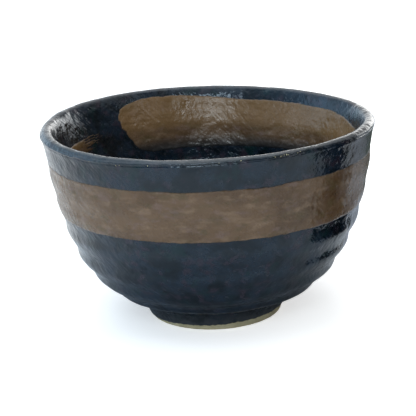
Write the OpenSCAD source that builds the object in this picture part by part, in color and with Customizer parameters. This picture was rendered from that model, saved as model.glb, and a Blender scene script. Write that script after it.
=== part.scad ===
// Matcha bowl: a wheel-thrown stoneware tea bowl on a turned foot ring.
// Dark glaze lines the inside and coats the outside, and brown glaze is brushed over it in two bands.
// Millimetres. The origin is the centre of the standing face, and +Z is up.

/* [Bowl] */
// Diameter over the lip, glaze included
rim_d = 125; // [100:1:160]
// Height from the table to the top of the lip
bowl_h = 74.5; // [60:0.5:100]
// Wall thickness below the lip, glaze included
wall_t = 6.8; // [5.4:0.1:8.4]
// Thickness of the floor at its centre, glaze included
floor_t = 6.6; // [4:0.1:10]

/* [Lip] */
// Radius of the outer edge of the lip
lip_round = 1.9; // [1.5:0.1:2.5]
// Angle by which the outer wall leans out where it meets the lip
lip_flare = 24; // [5:1:30]
// Wall thickness at the lip, glaze included
lip_t = 4.2; // [3.6:0.1:5]
// Distance below the lip over which the wall grows to its full thickness
lip_run = 20; // [12:1:30]

/* [Throwing ridges] */
// Height of a ridge above the groove over it
ridge_h = 0.75; // [0:0.05:1.2]
// Distance from one groove to the next along the wall
ridge_pitch = 10.7; // [7:0.1:14]

/* [Foot] */
// Height of the foot on the outside, up to where the wall begins
foot_h = 8; // [6:0.1:12]
// Height of the foot ring, which is the depth of the hollow under the bowl
ring_h = 6; // [4.8:0.1:6]
// Diameter of the foot where it stands on the table
foot_d = 50; // [40:0.5:60]
// Width of the foot ring where it stands on the table
ring_w = 5.5; // [4:0.1:8]
// Angle by which the sides of the foot ring lean, so that the ring narrows towards the table
foot_taper = 17; // [5:1:25]
// Radius of the worn edges of the standing face
foot_round = 0.8; // [0.4:0.1:1.2]

/* [Glaze] */
// Thickness of the dark glaze
glaze_t = 0.5; // [0.3:0.05:0.8]
// Thickness of the brown glaze over it
brown_t = 0.2; // [0.1:0.05:0.4]
// Height at which the glaze stops, above the bare clay of the foot
glaze_line = 2.2; // [1.5:0.1:3.5]
// Distance down from the top of the lip to where the inner coat laps over the outer one
lap_drop = 2.2; // [1.8:0.1:4]

/* [Brown bands] */
// Distance from the top of the lip down to the upper edge of the outer band
band_drop = 11.2; // [6:0.2:20]
// Width of the outer band, measured by height
band_w = 18; // [8:0.5:24]
// Distance from the top of the lip down to the upper edge of the inner stroke
stroke_drop = 4.2; // [3:0.2:12]
// Width of the inner stroke, measured by height
stroke_w = 19.5; // [10:0.5:24]
// Angle at which the brush was set down inside the bowl
stroke_start = 131; // [100:1:170]
// Angle through which the brush was drawn, clockwise from above
stroke_sweep = 352; // [200:1:355]
// Length of the ragged tail, where the bristles ran dry
tail_l = 24; // [12:1:26]
// Width of the tail
tail_w = 7; // [4:0.5:10]
// Distance by which the upper edge has come down at the tail
tail_drop = 7; // [0:0.5:9]
// Number of dry gaps in the tail
tail_gaps = 3; // [1:1:5]

/* [Hidden] */
$fn = 96;

clay_colour = [0.78, 0.72, 0.58];
dark_colour = [0.13, 0.16, 0.20];
brown_colour = [0.42, 0.35, 0.28];

rim_r = rim_d / 2;
lip_r = rim_r - lip_round;
foot_r = foot_d / 2;
foot_lean = tan(foot_taper);
well_r = foot_r - ring_w;
well_taper = foot_taper / 3;
well_lean = tan(well_taper);
well_top_r = well_r - ring_h * well_lean;

cove_steps = 6;
wall_steps = 96;
belly_reach = 0.93;
belly_lift = 0.14;
flare_run = 0.12;
lip_ease = 0.9;
turn_share = 0.48;
floor_run = 0.6;
floor_reach = 0.68;
start_height = 0.83;
start_round = 0.85;
edge_steps = 8;
floor_steps = 60;

// ---- curves ----

function bezier(a, b, c, d, t) =
    pow(1 - t, 3) * a + 3 * pow(1 - t, 2) * t * b + 3 * (1 - t) * t * t * c + t * t * t * d;

function curve(a, b, c, d, steps) = [for (i = [0:steps]) bezier(a, b, c, d, i / steps)];

function ellipse_arc(centre, a, b, from, to, steps) =
    [for (i = [0:steps]) let (angle = from + (to - from) * i / steps)
        centre + [a * cos(angle), b * sin(angle)]];

function tail(points) = [for (i = [1:len(points) - 1]) points[i]];

function reversed(points) = [for (i = [len(points) - 1:-1:0]) points[i]];

function unit(v) = v / norm(v);

// Unit normal at point i, on the right-hand side of the direction of travel
function normal(points, i) =
    let (ahead = points[min(i + 1, len(points) - 1)],
         behind = points[max(i - 1, 0)],
         way = unit(ahead - behind))
    [way.y, -way.x];

// The points moved along their normals, each by its own distance
function moved(points, distances) =
    [for (i = [0:len(points) - 1]) points[i] + distances[i] * normal(points, i)];

function same(value, points) = [for (p = points) value];

// The point at a fractional index
function at(points, u) =
    let (i = min(floor(u), len(points) - 2)) points[i] + (u - i) * (points[i + 1] - points[i]);

// The part of a curve between two fractional indices
function slice(points, u0, u1) =
    concat([at(points, u0)],
           [for (i = [0:len(points) - 1]) if (i > u0 + 0.01 && i < u1 - 0.01) points[i]],
           [at(points, u1)]);

// The fractional index at which a curve that climbs or falls first passes height z
function index_at(points, z) =
    [for (i = [0:len(points) - 2])
        let (a = points[i].y, b = points[i + 1].y)
        if ((a - z) * (b - z) <= 0 && a != b) i + (z - a) / (b - a)][0];

// ---- the glazed surface, from the foot up the outside, over the lip and down to the centre ----

// Outer side of the glazed foot at height z
function foot_surface(z) = [foot_r + z * foot_lean + glaze_t / cos(foot_taper), z];

// The foot, and the cove between it and the wall
neck = foot_surface(ring_h + glaze_t);
foot_side = [foot_surface(glaze_line), foot_surface(ring_h), neck];
wall_start = [neck.x + foot_h - ring_h, foot_h];
cove = curve(neck, [neck.x + 0.2, foot_h - 0.7], [neck.x + 0.6, foot_h - 0.2], wall_start, cove_steps);

// Outer wall, before the ridges are raised on it
wall_end = [lip_r, bowl_h - lip_round] + lip_round * [cos(lip_flare), -sin(lip_flare)];
wall_rise = wall_end.y - wall_start.y;
belly_handle = wall_start + [belly_reach * (rim_r - wall_start.x), belly_lift * wall_rise];
flare_handle = wall_end - flare_run * wall_rise * [sin(lip_flare), cos(lip_flare)];
smooth_wall = curve(wall_start, belly_handle, flare_handle, wall_end, wall_steps);

// Distance along the wall from the lip down to point i
function run(points, i) =
    i >= len(points) - 1 ? 0 : run(points, i + 1) + norm(points[i + 1] - points[i]);

// A ridge steps out sharply below each groove and eases back in to the next one
ridge_step = 0.3;
function ridge_shape(turn) =
    let (part = turn - floor(turn))
    part < ridge_step ? -cos(180 * part / ridge_step) : cos(180 * (part - ridge_step) / (1 - ridge_step));

// Ridges fade out towards the lip
function ridge_at(distance) =
    ridge_h / 2 * ridge_shape(distance / ridge_pitch) * min(1, distance / ridge_pitch);

outer_wall = let (heights = [for (i = [0:wall_steps]) ridge_at(run(smooth_wall, i)) * min(1, i / 4)])
    moved(smooth_wall, heights);

// The inside follows the smooth outside, one wall thickness away, down to where it turns inwards
turn_z = turn_share * bowl_h;
turn = [for (i = [0:wall_steps]) if (smooth_wall[i].y > turn_z) i][0];
function eased(t) = t * (2 - t);
depths = [for (i = [0:wall_steps]) lip_t + (wall_t - lip_t) * eased(min(1, run(smooth_wall, i) / lip_run))];
followed = moved(smooth_wall, -depths);
parallel = [for (i = [wall_steps:-1:turn]) followed[i]];

// Lip, with a small eased inner edge
crest = [lip_r, bowl_h];
inner_top = parallel[0];
inner_way = unit(parallel[1] - inner_top);
lip_edge = ellipse_arc([lip_r, bowl_h - lip_round], lip_round, lip_round, -lip_flare, 90, edge_steps);
lip_inside = curve(crest, crest - [lip_ease, 0], inner_top - lip_ease * inner_way, inner_top, edge_steps);

// From the turn to the middle of the floor
floor_z = ring_h + floor_t;
turn_at = parallel[len(parallel) - 1];
turn_way = unit(turn_at - parallel[len(parallel) - 2]);
floor_curve = curve(turn_at, turn_at + floor_run * (turn_at.y - floor_z) * turn_way,
                    [floor_reach * turn_at.x, floor_z], [0, floor_z], floor_steps);

outside = concat(foot_side, tail(cove), tail(outer_wall));
inside = concat(lip_edge, tail(lip_inside), tail(parallel), tail(floor_curve));
surface = concat(outside, tail(inside));

// The clay lies one coat of glaze under the surface, and both end on the axis
last = len(surface) - 1;
under = moved(surface, same(-glaze_t, surface));
clay = [for (i = [0:last]) i < last ? under[i] : [0, floor_z - glaze_t]];

// The two coats meet on the outside of the lip
lap = index_at(surface, bowl_h - lap_drop);

// ---- solids ----

module turned(outline) {
    rotate_extrude() polygon(outline);
}

// Thrown wall and floor. Its flat underside takes the foot ring.
module clay_bowl() {
    seat = index_at(clay, ring_h);
    color(clay_colour)
        turned(concat([[0, ring_h]], slice(clay, seat, last)));
}

// Ring of clay luted to the underside of the bowl. Its standing edge is left bare.
module foot_ring() {
    outer_centre = [foot_r - foot_round * (1 / cos(foot_taper) - foot_lean), foot_round];
    inner_centre = [well_r + foot_round * (1 / cos(well_taper) - well_lean), foot_round];
    outer_edge = ellipse_arc(outer_centre, foot_round, foot_round, -90, -foot_taper, 5);
    inner_edge = ellipse_arc(inner_centre, foot_round, foot_round, -180 + well_taper, -90, 5);
    color(clay_colour)
        turned(concat(outer_edge, [[foot_r + ring_h * foot_lean, ring_h], [well_top_r, ring_h]], inner_edge));
}

// Dipped coat outside, from the glaze line on the foot up to the lap on the lip
module outside_glaze() {
    color(dark_colour)
        turned(concat(slice(surface, 0, lap), reversed(slice(clay, 0, lap))));
}

// Poured coat inside, from the lap over the lip down to the centre of the floor
module inside_glaze() {
    color(dark_colour)
        turned(concat(slice(surface, lap, last), reversed(slice(clay, lap, last))));
}

// Glaze left in the hollow under the bowl
module foot_well_glaze() {
    corner = 3 * glaze_t;
    line_r = well_r - glaze_line * well_lean;
    color(dark_colour)
        turned([[0, ring_h], [0, ring_h - glaze_t], [well_top_r - corner, ring_h - glaze_t],
                [well_top_r - glaze_t, ring_h - corner], [line_r - glaze_t, glaze_line],
                [line_r, glaze_line], [well_top_r, ring_h]]);
}

// A strip of brown glaze lying on the dark glaze, between two places on its surface
function strip(u0, u1) =
    let (raised = moved(surface, same(brown_t, surface)))
    concat(slice(surface, u0, u1), reversed(slice(raised, u0, u1)));

module outside_brown_band() {
    color(brown_colour)
        turned(strip(index_at(outside, bowl_h - band_drop - band_w), index_at(outside, bowl_h - band_drop)));
}

// Everything in front of the rounded start of the inner stroke
module start_cutter(low, front_r) {
    stroke_r = at(inside, index_at(inside, low + stroke_w / 2)).x;
    front_turn = asin(front_r / stroke_r);
    rotate([0, 0, stroke_start - front_turn])
        difference() {
            rotate_extrude(angle = front_turn + 2)
                translate([inner_top.x / 2, low - 1])
                    square([inner_top.x, stroke_w + 2]);
            translate([0, 0, low + start_height * stroke_w])
                rotate([0, 90, 0])
                    cylinder(r = front_r, h = rim_d);
        }
}

// Everything above, below and between the bristles of the tail. The stroke runs along Y from its
// end, and the mouths of the gaps overlap, so the streaks end one after another.
module tail_cutters(low) {
    high = low + stroke_w;
    tail_high = high - tail_drop;
    tail_low = tail_high - tail_w;
    gap_l = rands(0.4 * tail_l, 0.8 * tail_l, tail_gaps, 7);
    gap_step = tail_w / tail_gaps;
    rotate([0, 0, stroke_start - stroke_sweep])
        rotate([90, 0, 90])
            linear_extrude(rim_d) {
                polygon([[-1, high + 1], [-1, tail_high - 1], [tail_l, tail_high], [2 * tail_l, high + 1]]);
                polygon([[-1, low - 1], [-1, tail_low + 2], [tail_l / 2, tail_low], [1.3 * tail_l, low - 1]]);
                for (i = [0:tail_gaps - 1]) {
                    gap_z = tail_low + (i + 0.5) * gap_step;
                    polygon([[-1, gap_z - 0.8 * gap_step], [gap_l[i], gap_z], [-1, gap_z + 0.8 * gap_step]]);
                }
            }
}

// One stroke of a wide brush inside, drawn clockwise nearly all the way round
module inside_brown_stroke() {
    low = bowl_h - stroke_drop - stroke_w;
    first = len(outside) - 1;
    top = first + index_at(inside, low + stroke_w);
    bottom = first + index_at(inside, low);
    color(brown_colour)
        difference() {
            rotate([0, 0, stroke_start - stroke_sweep])
                rotate_extrude(angle = stroke_sweep)
                    polygon(strip(top, bottom));
            start_cutter(low, start_round * stroke_w);
            tail_cutters(low);
        }
}

clay_bowl();
foot_ring();
outside_glaze();
inside_glaze();
foot_well_glaze();
outside_brown_band();
inside_brown_stroke();
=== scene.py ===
# %% [markdown]
# # A matcha bowl, built in layers
# A tea bowl like this one is thrown on a wheel, given a turned foot, dipped in a dark glaze and then
# brushed with a brown one. The scene is built in the same order. Each layer is a closed mesh of its
# own, and all of them share one profile, so they lie on each other as the real layers do.

import math

import bmesh
import bpy
import numpy as np
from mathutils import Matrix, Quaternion, Vector


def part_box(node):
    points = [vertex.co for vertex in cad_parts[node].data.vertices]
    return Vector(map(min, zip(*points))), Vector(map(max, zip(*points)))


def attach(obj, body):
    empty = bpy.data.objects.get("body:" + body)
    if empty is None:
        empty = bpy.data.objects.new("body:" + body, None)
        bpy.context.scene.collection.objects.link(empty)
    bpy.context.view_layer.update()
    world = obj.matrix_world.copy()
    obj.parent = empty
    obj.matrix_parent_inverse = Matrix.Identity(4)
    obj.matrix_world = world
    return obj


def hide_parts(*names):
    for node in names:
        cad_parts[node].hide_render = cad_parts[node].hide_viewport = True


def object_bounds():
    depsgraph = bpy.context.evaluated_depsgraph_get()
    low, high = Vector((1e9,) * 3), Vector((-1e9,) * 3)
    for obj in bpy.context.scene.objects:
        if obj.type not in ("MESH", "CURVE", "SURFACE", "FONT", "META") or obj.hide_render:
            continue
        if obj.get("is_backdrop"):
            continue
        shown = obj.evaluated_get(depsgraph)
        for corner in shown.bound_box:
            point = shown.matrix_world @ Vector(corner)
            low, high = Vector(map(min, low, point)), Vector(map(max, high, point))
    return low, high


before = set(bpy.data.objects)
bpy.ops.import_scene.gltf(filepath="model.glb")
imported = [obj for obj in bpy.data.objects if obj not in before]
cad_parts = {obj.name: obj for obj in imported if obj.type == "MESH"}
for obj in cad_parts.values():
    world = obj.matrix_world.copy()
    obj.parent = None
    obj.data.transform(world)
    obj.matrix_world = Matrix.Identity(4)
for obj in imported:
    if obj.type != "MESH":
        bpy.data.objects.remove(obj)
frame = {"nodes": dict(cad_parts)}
cad_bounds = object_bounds()
print("CAD nodes:", ", ".join(frame["nodes"]))

# %% [markdown]
# ## The sizes
# The CAD model is the fixed frame, so the overall sizes are read from its nodes. The few sizes that a
# box can't give, such as the thickness of the glaze, are the same named values as in the CAD source.

# %% Sizes
mm = 0.001
glaze_t = 0.5 * mm
brown_t = 0.2 * mm
foot_r = 25 * mm
ring_w = 5.5 * mm
foot_round = 0.8 * mm
foot_taper = math.radians(17)
foot_h = 8 * mm
wall_t = 6.8 * mm
lip_t = 4.2 * mm
lip_run = 20 * mm
lip_round = 1.9 * mm
lip_flare = math.radians(24)

rim_r = (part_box("inside_glaze")[1].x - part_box("inside_glaze")[0].x) / 2
bowl_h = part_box("inside_glaze")[1].z
turn_z = 0.48 * bowl_h
ring_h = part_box("foot_ring")[1].z
glaze_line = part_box("outside_glaze")[0].z
floor_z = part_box("inside_glaze")[0].z + glaze_t
band_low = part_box("outside_brown_band")[0].z - 0.7 * mm
band_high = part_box("outside_brown_band")[1].z - 0.1 * mm
print(f"rim {2 * rim_r / mm:.1f} mm, height {bowl_h / mm:.1f} mm, foot {2 * foot_r / mm:.0f} mm")

# %% [markdown]
# ## The profile
# A wheel-thrown bowl is a solid of revolution, so one curve describes it: up the foot, round the
# belly, over the lip and down the inside to the centre. Bézier curves give the full belly and the
# flaring lip with four points each. The curve is then cut into equal steps, so that a place on the
# surface is named by one number: how far along the profile it lies.

# %% Curves
def bezier(a, b, c, d, steps=120):
    t = np.linspace(0, 1, steps)[:, None]
    a, b, c, d = (np.array(point) for point in (a, b, c, d))
    return (1 - t) ** 3 * a + 3 * (1 - t) ** 2 * t * b + 3 * (1 - t) * t * t * c + t ** 3 * d


def arc(centre, width, height, start, end, steps=40):
    angle = np.radians(np.linspace(start, end, steps))
    return np.array(centre) + np.stack([width * np.cos(angle), height * np.sin(angle)], axis=1)


def foot_surface(z):
    return np.array([foot_r + z * math.tan(foot_taper) + glaze_t / math.cos(foot_taper), z])


# %% The glazed outline
neck = foot_surface(ring_h + glaze_t)
wall_start = np.array([neck[0] + foot_h - ring_h, foot_h])
cove = bezier(neck, (neck[0] + 0.2 * mm, foot_h - 0.7 * mm),
              (neck[0] + 0.6 * mm, foot_h - 0.2 * mm), wall_start, 30)

lip_centre = np.array([rim_r - lip_round, bowl_h - lip_round])
wall_end = lip_centre + lip_round * np.array([math.cos(lip_flare), -math.sin(lip_flare)])
wall_rise = wall_end[1] - wall_start[1]
belly = wall_start + np.array([0.93 * (rim_r - wall_start[0]), 0.14 * wall_rise])
flare = wall_end - 0.12 * wall_rise * np.array([math.sin(lip_flare), math.cos(lip_flare)])
wall = bezier(wall_start, belly, flare, wall_end)

# The inside follows the outside, one wall thickness away, until it turns to the floor
downhill = np.gradient(wall, axis=0)
downhill /= -np.linalg.norm(downhill, axis=1)[:, None]
steps_down = np.linalg.norm(np.diff(wall, axis=0), axis=1)[::-1]
run = np.concatenate([[0], np.cumsum(steps_down)])[::-1]
grown = np.minimum(1, run / lip_run)
thickness = lip_t + (wall_t - lip_t) * grown * (2 - grown)
parallel = wall + np.stack([downhill[:, 1], -downhill[:, 0]], axis=1) * thickness[:, None]
parallel, downhill = (part[wall[:, 1] > turn_z][::-1] for part in (parallel, downhill))

crest = lip_centre + (0, lip_round)
lip_edge = arc(lip_centre, lip_round, lip_round, -24, 90)
reach = 0.9 * mm
lip_inside = bezier(crest, crest - (reach, 0), parallel[0] - reach * downhill[0], parallel[0], 30)
turn = parallel[-1]
to_floor = bezier(turn, turn + downhill[-1] * 0.6 * (turn[1] - floor_z),
                  (0.68 * turn[0], floor_z), (0, floor_z))

outline = np.vstack([[foot_surface(0)], cove, wall[1:], lip_edge[1:], lip_inside[1:], parallel[1:],
                     to_floor[1:]])
lengths = np.concatenate([[0], np.cumsum(np.linalg.norm(np.diff(outline, axis=0), axis=1))])
profile_step = 0.1 * mm
way = np.arange(0, lengths[-1], profile_step)
profile = np.stack([np.interp(way, lengths, outline[:, i]) for i in (0, 1)], axis=1)
profile[-1, 0] = 0
tangent = np.gradient(profile, axis=0)
tangent /= np.linalg.norm(tangent, axis=1)[:, None]
lip_top = way[np.argmax(profile[:, 1])]
lip_start = lengths[np.argmin(np.linalg.norm(outline - wall_end, axis=1))]
print(f"profile {lengths[-1] / mm:.0f} mm long, lip at {lip_top / mm:.0f} mm")


# %% Places on the profile
def place(along):
    """Radius, height and outward normal at distances along the profile."""
    r, z = (np.interp(along, way, profile[:, i]) for i in (0, 1))
    tr, tz = (np.interp(along, way, tangent[:, i]) for i in (0, 1))
    return r, z, tz, -tr


def outside_at(z):
    """Distance along the profile where the outside has height z."""
    side = way <= lip_top
    return np.interp(z, profile[side, 1], way[side])


def inside_at(z):
    side = way >= lip_top
    return np.interp(z, profile[side, 1][::-1], way[side][::-1])


# %% [markdown]
# ## Chance, kept in hand
# Hand work is never quite even. Small random numbers on a grid, blended smoothly between the grid's
# points, give edges that wander and brush marks that vary. Every grid has its own seed, so the bowl
# comes out the same each time.

# %% Smooth chance
def patchy(u, v, cells_u, cells_v, seed):
    """Smooth noise from -1 to 1. u runs from 0 to 1 and wraps round; v runs from 0 to 1."""
    grid = np.random.default_rng(seed).uniform(-1, 1, (cells_u, cells_v + 2))
    x, y = (u % 1) * cells_u, np.clip(v, 0, 1) * cells_v
    i, j = np.floor(x).astype(int), np.floor(y).astype(int)
    fx, fy = x - i, y - j
    fx, fy = fx * fx * (3 - 2 * fx), fy * fy * (3 - 2 * fy)
    a, b = grid[i % cells_u, j], grid[(i + 1) % cells_u, j]
    c, d = grid[i % cells_u, j + 1], grid[(i + 1) % cells_u, j + 1]
    return (a * (1 - fx) + b * fx) * (1 - fy) + (c * (1 - fx) + d * fx) * fy


def wander(turn, cells, seed):
    return patchy(turn, 0 * turn, cells, 1, seed)


def ramp(x, start, end):
    """0 before start, 1 after end, and a smooth step between them."""
    t = np.clip((x - start) / (end - start), 0, 1)
    return t * t * (3 - 2 * t)


# %% [markdown]
# ## Layers as closed shells
# Each coat is a closed shell: a strip of the profile raised by the coat's thickness, and the same
# strip again underneath, joined at both edges. The rows of such a shell are turned round the axis.
# Every point also remembers where it lies on the smooth profile and which way is out, because the
# next step shapes all the layers by one rule. It keeps a third place too, called skin: the wall
# unrolled on a drum and turned a little, so that runs in the glaze can follow the wall at a slant.

# %% Rows of a shell
def row(along, raised, turns, cover=1.0):
    """A row on the profile, raised above it. cover says how thickly its finish lies, and on the lip, at the
    foot's edge and on the inner stroke it also carries painted sheen and painted shade.
    """
    r, z, nr, nz = place(along * np.ones(turns))
    raised, below, cover = (value * np.ones(turns) for value in (raised, lip_start - along, cover))
    return r, z, nr, nz, raised, below, cover


def free_row(r, z, turns):
    """A row that isn't on the profile, such as one on the underside."""
    flat = np.zeros(turns)
    return r + flat, z + flat, flat, flat - 1, flat, flat, flat


# %% Shell builder
drum_r = 50 * mm
run_slant = math.radians(38)


def shell(name, rows, closed):
    """Turns rows into a mesh. closed joins the last row to the first; otherwise both end on the axis."""
    r, z, nr, nz, raised, along, cover = (np.stack(part) for part in zip(*rows))
    count, turns = r.shape
    angle = np.linspace(0, 2 * np.pi, turns, endpoint=False)
    cos, sin = np.cos(angle), np.sin(angle)
    start = np.stack([r * cos, r * sin, z], axis=-1).reshape(-1, 3)
    out = np.stack([nr * cos, nr * sin, nz], axis=-1).reshape(-1, 3)
    points = start + out * raised.reshape(-1, 1)
    lines = np.arange(count if closed else count - 1)[:, None] * turns
    next_lines = (lines + turns) % (count * turns)
    here, after = np.arange(turns), (np.arange(turns) + 1) % turns
    faces = np.stack([lines + here, lines + after, next_lines + after, next_lines + here], axis=-1)
    mesh = bpy.data.meshes.new(name)
    mesh.from_pydata(points.tolist(), [], faces.reshape(-1, 4).tolist())
    for key, kind, values in (("along", "FLOAT", along), ("cover", "FLOAT", cover)):
        mesh.attributes.new(key, kind, "POINT").data.foreach_set("value", values.ravel())
    twisted = angle - math.tan(run_slant) / drum_r * along
    skin = np.stack([drum_r * np.cos(twisted), drum_r * np.sin(twisted), along], axis=-1).reshape(-1, 3)
    for key, values in (("start", start), ("out", out), ("skin", skin)):
        mesh.attributes.new(key, "FLOAT_VECTOR", "POINT").data.foreach_set("vector", values.ravel())
    made = bmesh.new()
    made.from_mesh(mesh)
    bmesh.ops.remove_doubles(made, verts=made.verts, dist=1e-7)
    bmesh.ops.recalc_face_normals(made, faces=made.faces)
    if made.calc_volume(signed=True) < 0:
        bmesh.ops.reverse_faces(made, faces=made.faces)
    open_edges = sum(not edge.is_manifold for edge in made.edges)
    made.to_mesh(mesh)
    made.free()
    piece = bpy.data.objects.new(name, mesh)
    bpy.context.scene.collection.objects.link(piece)
    print(f"{name}: {len(mesh.polygons)} faces, {open_edges} open edges")
    return piece


# %% [markdown]
# ## Node trees in a few words
# Materials and Geometry Nodes are both trees of nodes. Small helpers keep the rest readable. `add`
# makes a node and fills its sockets with values or links, and `calc` does one step of maths. `plus`
# and `times` join several values, and `between` turns a range of values into a soft step.

# %% Node helpers
def add(tree, kind, sockets=None, **settings):
    made = tree.nodes.new(kind)
    for key, value in settings.items():
        setattr(made, key, value)
    for key, value in (sockets or {}).items():
        if isinstance(value, bpy.types.NodeSocket):
            tree.links.new(value, made.inputs[key])
        else:
            made.inputs[key].default_value = value
    return made


def calc(tree, operation, *values):
    return add(tree, "ShaderNodeMath", dict(enumerate(values)), operation=operation).outputs[0]


def plus(tree, first, *others):
    for value in others:
        first = calc(tree, "ADD", first, value)
    return first


def times(tree, first, *others):
    for value in others:
        first = calc(tree, "MULTIPLY", first, value)
    return first


def between(tree, value, low, high, to_low=0.0, to_high=1.0):
    return add(tree, "ShaderNodeMapRange", {0: value, 1: low, 2: high, 3: to_low, 4: to_high},
               interpolation_type="SMOOTHSTEP").outputs[0]


# %% [markdown]
# ## Thrown by hand
# Fingers drawn up the spinning wall leave rings: a sharp step under each groove, then an easy slope
# down to the next. The rings belong to every layer, since the glaze follows the clay. One Geometry
# Nodes tree therefore shapes all of them. It reads where each point lay on the smooth profile and
# moves it by the same rule, so the layers stay on each other. Its inputs are the sizes a potter
# would name: the height and pitch of the rings, how they wander, and how far the lip has warped.

# %% Inputs of the throwing tree
throwing_sizes = {
    "Ring Height": 0.38 * mm, "Ring Height Low": 0.90 * mm, "Ring Pitch": 10.7 * mm, "Ring Slant": 1.0 * mm,
    "Ring Wander": 0.12, "Wander Size": 45 * mm, "Uneven Size": 38 * mm, "Unevenness": 0.35,
    "Front And Back": 0.45, "Step Left": 0.33, "Step Right": 0.40,
    "Inner Ring Height": 0.10 * mm, "Lump Height": 0.22 * mm, "Lump Size": 11 * mm,
    "Ripple Height": 0.07 * mm, "Ripple Size": 3.0 * mm,
    "Warp Height": 0.45 * mm, "Warp Direction": math.radians(130), "Lip Lift": 0.70 * mm,
    "Lip Tilt": 0.40 * mm, "Tilt Direction": math.radians(230), "Lip Spread": 0.30 * mm,
    "Belly Shift": 0.35 * mm, "Foot Shift": 0.35 * mm,
    "Foot Height": foot_h, "Bowl Height": bowl_h, "Rim Radius": rim_r,
}


def new_tree(name, sizes):
    """A Geometry Nodes tree with named inputs. Gives the tree and its inputs."""
    tree = bpy.data.node_groups.new(name, "GeometryNodeTree")
    tree.interface.new_socket("Geometry", in_out="INPUT", socket_type="NodeSocketGeometry")
    tree.interface.new_socket("Geometry", in_out="OUTPUT", socket_type="NodeSocketGeometry")
    for label, value in sizes.items():
        kind = "NodeSocketInt" if isinstance(value, int) else "NodeSocketFloat"
        tree.interface.new_socket(label, in_out="INPUT", socket_type=kind).default_value = value
    tree.interface.new_socket("Material", in_out="INPUT", socket_type="NodeSocketMaterial")
    return tree, add(tree, "NodeGroupInput").outputs


def stored(tree, name, kind="FLOAT"):
    return add(tree, "GeometryNodeInputNamedAttribute", {"Name": name}, data_type=kind).outputs["Attribute"]


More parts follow.
